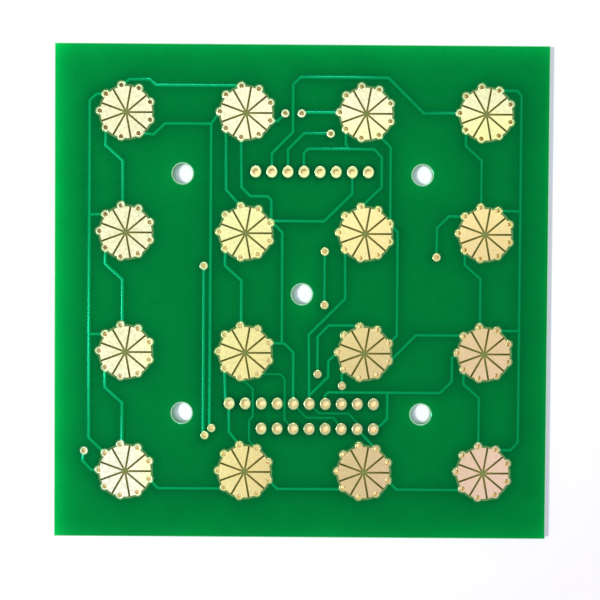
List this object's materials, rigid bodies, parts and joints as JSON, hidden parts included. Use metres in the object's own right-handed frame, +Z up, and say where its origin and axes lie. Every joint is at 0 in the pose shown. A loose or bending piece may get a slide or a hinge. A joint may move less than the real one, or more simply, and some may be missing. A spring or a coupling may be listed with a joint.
{
  "type": "printed circuit board",
  "caption": "Bare square circuit board with round gold contact pads split into sectors, rows of plated header holes, round mounting holes, copper tracks and green solder mask.",
  "frame": {"origin": "middle of the board's underside, level with the undersides of the plated hole rings", "axes": "+Z up through the board's thickness to the contact pad side, +Y towards the far edge behind the single row of header holes, +X to the right"},
  "size_m": [0.078, 0.078, 0.0016],
  "materials": {
    "laminate": "woven glass and epoxy, satin cut edges",
    "solder_mask": "glossy green film over laminate and copper",
    "gold_plating": "pale satin gold over copper"
  },
  "bodies": {
    "root": {"back_solder_mask": "solder_mask", "contact_pad_r1c1": "gold_plating", "contact_pad_r1c2": "gold_plating", "contact_pad_r1c3": "gold_plating", "contact_pad_r1c4": "gold_plating", "contact_pad_r2c1": "gold_plating", "contact_pad_r2c2": "gold_plating", "contact_pad_r2c3": "gold_plating", "contact_pad_r2c4": "gold_plating", "contact_pad_r3c1": "gold_plating", "contact_pad_r3c2": "gold_plating", "contact_pad_r3c3": "gold_plating", "contact_pad_r3c4": "gold_plating", "contact_pad_r4c1": "gold_plating", "contact_pad_r4c2": "gold_plating", "contact_pad_r4c3": "gold_plating", "contact_pad_r4c4": "gold_plating", "eyelet_j1_pin1": "gold_plating", "eyelet_j1_pin5": "gold_plating", "eyelet_j1_pin6": "gold_plating", "eyelet_j1_pin8": "gold_plating", "eyelet_j2_pin10": "gold_plating", "eyelet_j2_pin2": "gold_plating", "eyelet_j2_pin3": "gold_plating", "eyelet_j2_pin4": "gold_plating", "eyelet_j2_pin8": "gold_plating", "eyelet_j2_pin9": "gold_plating", "eyelet_j3_pin1": "gold_plating", "eyelet_j3_pin2": "gold_plating", "eyelet_j3_pin4": "gold_plating", "eyelet_j3_pin5": "gold_plating", "front_solder_mask": "solder_mask", "laminate": "laminate", "net_j1_pin2": "gold_plating", "net_j1_pin3_via_3": "gold_plating", "net_j1_pin4": "gold_plating", "net_j1_pin7": "gold_plating", "net_j2_pin1": "gold_plating", "net_j2_pin5_j3_pin6": "gold_plating", "net_j2_pin6_j3_pin7": "gold_plating", "net_j2_pin7_j3_pin8": "gold_plating", "net_j3_pin3": "gold_plating", "net_via_1": "gold_plating", "net_via_10": "gold_plating", "net_via_12": "gold_plating", "net_via_2": "gold_plating", "net_via_4_via_7": "gold_plating", "net_via_5": "gold_plating", "net_via_6_via_11": "gold_plating", "net_via_8": "gold_plating", "net_via_9": "gold_plating"}
  },
  "joints": []
}
